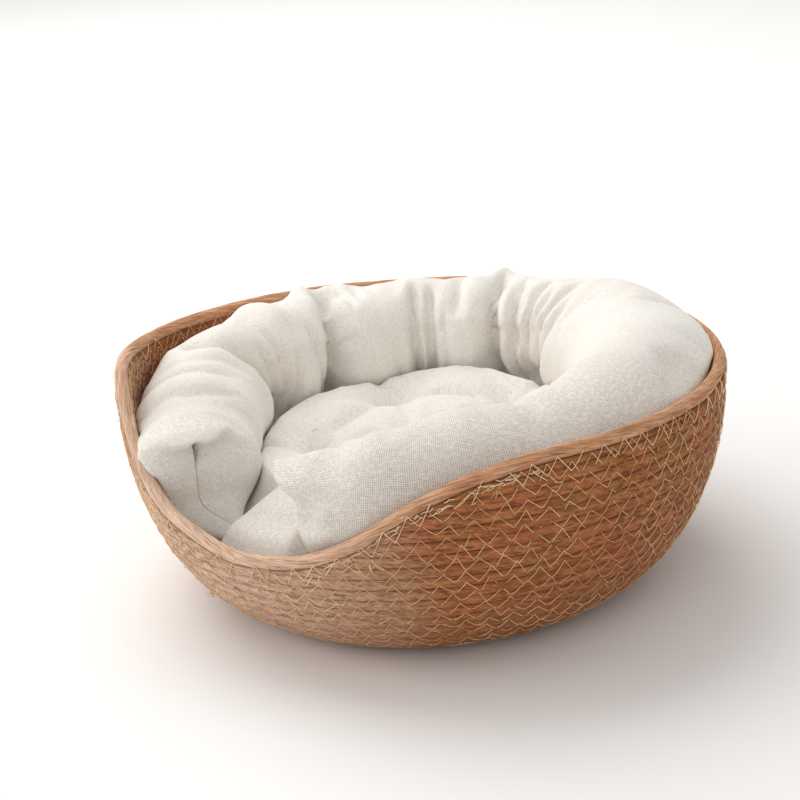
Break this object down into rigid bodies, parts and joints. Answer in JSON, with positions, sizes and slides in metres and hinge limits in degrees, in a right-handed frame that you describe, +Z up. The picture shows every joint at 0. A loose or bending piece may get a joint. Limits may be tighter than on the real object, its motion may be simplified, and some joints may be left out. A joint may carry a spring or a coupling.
{
  "type": "pet bed basket",
  "caption": "Round coiled-cord pet bed basket with a low entrance, a tufted seat cushion and a stuffed bolster roll round the wall.",
  "frame": {"origin": "centre of the basket's flat underside", "axes": "+Z up; the low entrance faces -Y; +X to the right of someone who looks along +Y into the entrance"},
  "size_m": [0.4486, 0.4401, 0.1819],
  "materials": {
    "cord": "matte",
    "rim": "matte",
    "linen": "matte",
    "filling": "matte",
    "thread": "matte"
  },
  "bodies": {
    "basket": {"base_coil": "cord", "wall_coil": "cord", "raised_course_01": "cord", "raised_course_02": "cord", "raised_course_03": "cord", "raised_course_04": "cord", "raised_course_05": "cord", "raised_course_06": "cord", "raised_course_07": "cord", "shoulder_course_right_1": "cord", "shoulder_course_left_1": "cord", "shoulder_course_left_2": "cord", "shoulder_course_left_3": "cord", "rim_cord": "rim"},
    "seat_cushion": {"seat_top_panel": "linen", "seat_bottom_panel": "linen", "seat_filling": "filling", "seat_tack_1": "thread", "seat_tack_2": "thread", "seat_tack_3": "thread", "seat_tack_4": "thread", "seat_tack_5": "thread", "seat_tack_6": "thread"},
    "bolster": {"bolster_cover": "linen", "bolster_filling": "filling"}
  },
  "joints": [
    {"name": "seat_lift", "type": "slide", "parent": "basket", "child": "seat_cushion", "axis": [0, 0, 1], "range_m": [0, 0.2]},
    {"name": "bolster_lift", "type": "slide", "parent": "seat_cushion", "child": "bolster", "axis": [0, 0, 1], "range_m": [0, 0.15]}
  ]
}
